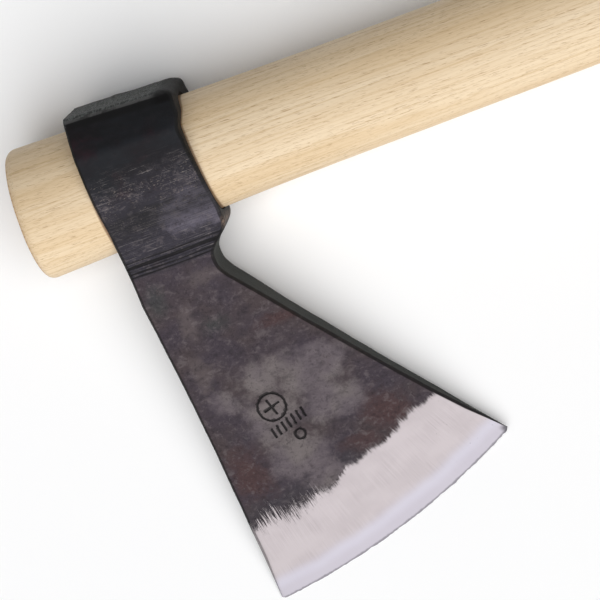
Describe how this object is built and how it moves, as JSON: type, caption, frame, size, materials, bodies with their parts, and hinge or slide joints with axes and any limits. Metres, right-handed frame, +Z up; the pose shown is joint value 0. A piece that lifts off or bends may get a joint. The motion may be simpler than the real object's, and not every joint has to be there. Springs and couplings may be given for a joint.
{
  "type": "broad axe",
  "caption": "Slip-fit hand axe: a forged head with a flared, skewed blade and a ground bevel, jammed on a straight tapered oval beech handle that passes through the eye.",
  "frame": {"origin": "middle of the footprint on the floor, with the axe lying on one cheek of the eye, the toe of its edge and the handle's butt", "axes": "+X along the handle from the head towards the grip, +Y from the cutting edge towards the poll, +Z up"},
  "size_m": [0.6004, 0.2046, 0.0502],
  "materials": {
    "forged_steel": "black forge scale with a bright ground edge",
    "beech": "pale sanded beech, unvarnished"
  },
  "bodies": {
    "head": {"axe_head": "forged_steel"},
    "handle": {"handle": "beech"}
  },
  "joints": [
    {"name": "handle_slip", "type": "slide", "parent": "head", "child": "handle", "axis": [-0.9999, -0.0011, 0.016], "range_m": [0, 0.58]}
  ]
}
